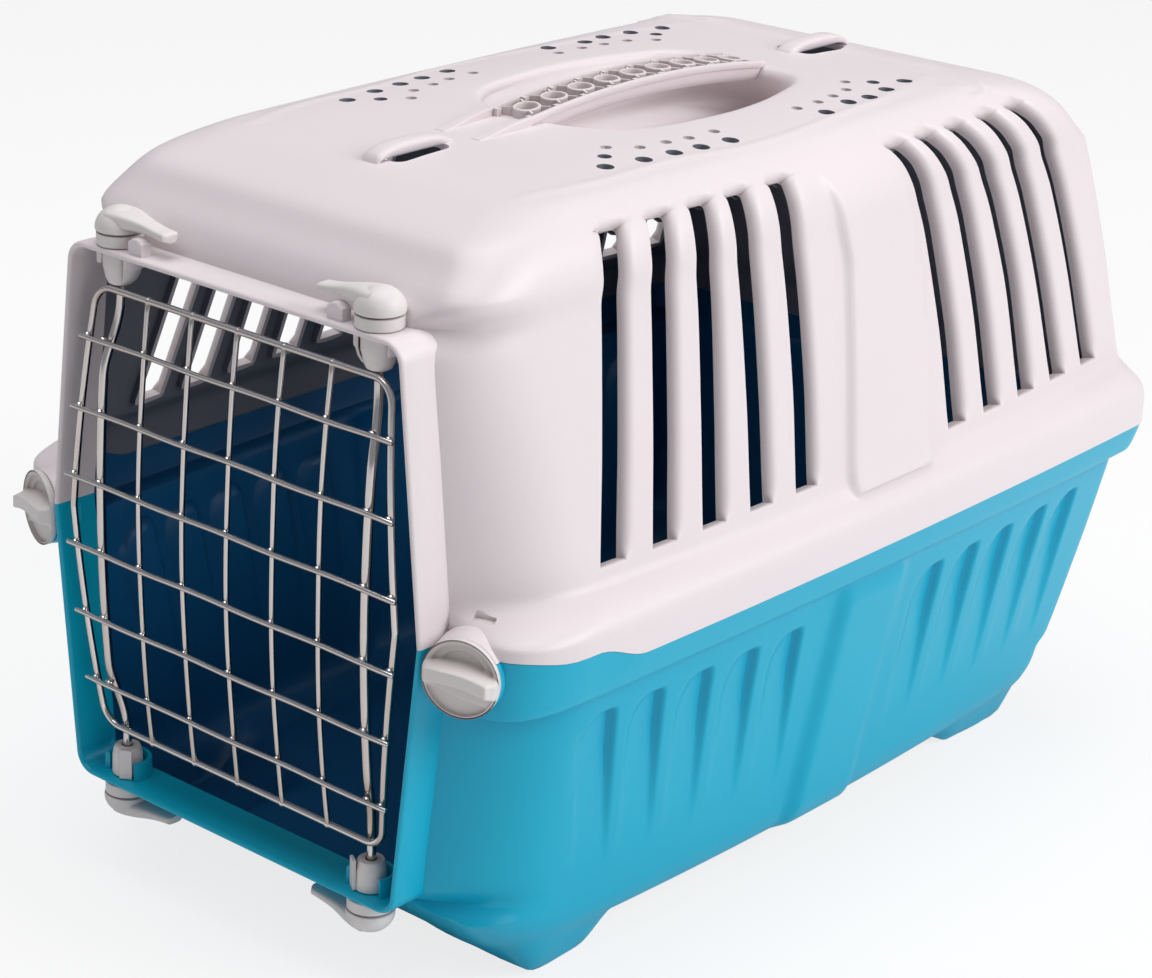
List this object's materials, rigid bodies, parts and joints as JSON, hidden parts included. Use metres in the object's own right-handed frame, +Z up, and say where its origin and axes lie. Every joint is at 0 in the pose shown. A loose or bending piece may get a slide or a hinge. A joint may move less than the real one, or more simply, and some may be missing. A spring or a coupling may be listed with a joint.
{
  "type": "pet transport carrier",
  "caption": "Two-part moulded pet carrier with a bowed wire door, turning rod latches, side turn locks, slotted pale lid with carry handle and a fluted blue tub on four feet.",
  "frame": {"origin": "middle of the overall box in plan, on the plane that the feet stand on", "axes": "+Z up, door towards -Y, +X to the right of someone facing the door, longest side along Y"},
  "size_m": [0.3148, 0.4822, 0.3372],
  "materials": {
    "blue_shell": "satin moulded polypropylene, turquoise blue",
    "pale_shell": "satin moulded polypropylene, pale warm grey",
    "grey_fitting": "satin moulded plastic, light warm grey",
    "bright_wire": "bright plated steel wire"
  },
  "bodies": {
    "base": {"base_shell": "blue_shell"},
    "lid": {"lid_shell": "pale_shell", "carry_handle": "pale_shell"},
    "door": {"door_frame": "bright_wire", "door_crosswire_1": "bright_wire", "door_crosswire_2": "bright_wire", "door_crosswire_3": "bright_wire", "door_crosswire_4": "bright_wire", "door_crosswire_5": "bright_wire", "door_crosswire_6": "bright_wire", "door_upright_1": "bright_wire", "door_upright_2": "bright_wire", "door_upright_3": "bright_wire", "door_upright_4": "bright_wire", "door_upright_5": "bright_wire", "door_rod_right": "bright_wire", "door_rod_left": "bright_wire"},
    "latch_top_right": {"latch_lever_top_right": "grey_fitting", "latch_cup_top_right": "grey_fitting"},
    "latch_top_left": {"latch_lever_top_left": "grey_fitting", "latch_cup_top_left": "grey_fitting"},
    "latch_bottom_right": {"latch_lever_bottom_right": "grey_fitting", "latch_cup_bottom_right": "grey_fitting"},
    "latch_bottom_left": {"latch_lever_bottom_left": "grey_fitting", "latch_cup_bottom_left": "grey_fitting"},
    "knob_right": {"side_knob_right": "grey_fitting", "knob_cam_right": "grey_fitting"},
    "knob_left": {"side_knob_left": "grey_fitting", "knob_cam_left": "grey_fitting"}
  },
  "joints": [
    {"name": "lid_lift", "type": "slide", "parent": "base", "child": "lid", "axis": [0, 0, 1], "range_m": [0, 0.3]},
    {"name": "door_swing", "type": "hinge", "parent": "base", "child": "door", "pos_m": [0.074, -0.2268, 0.1705], "axis": [0, 0, 1], "range_deg": [0, 110]},
    {"name": "latch_turn_top_right", "type": "hinge", "parent": "lid", "child": "latch_top_right", "pos_m": [0.074, -0.2268, 0.2896], "axis": [0, 0, 1], "range_deg": [0, 90]},
    {"name": "latch_turn_top_left", "type": "hinge", "parent": "lid", "child": "latch_top_left", "pos_m": [-0.074, -0.2268, 0.2896], "axis": [0, 0, 1], "range_deg": [-90, 0]},
    {"name": "latch_turn_bottom_right", "type": "hinge", "parent": "base", "child": "latch_bottom_right", "pos_m": [0.074, -0.2268, 0.0453], "axis": [0, 0, 1], "range_deg": [0, 90]},
    {"name": "latch_turn_bottom_left", "type": "hinge", "parent": "base", "child": "latch_bottom_left", "pos_m": [-0.074, -0.2268, 0.0453], "axis": [0, 0, 1], "range_deg": [-90, 0]},
    {"name": "knob_turn_right", "type": "hinge", "parent": "base", "child": "knob_right", "pos_m": [0.1249, -0.2336, 0.1597], "axis": [0.309, -0.9511, 0], "range_deg": [-90, 0]},
    {"name": "knob_turn_left", "type": "hinge", "parent": "base", "child": "knob_left", "pos_m": [-0.1249, -0.2336, 0.1597], "axis": [-0.309, -0.9511, 0], "range_deg": [0, 90]}
  ]
}
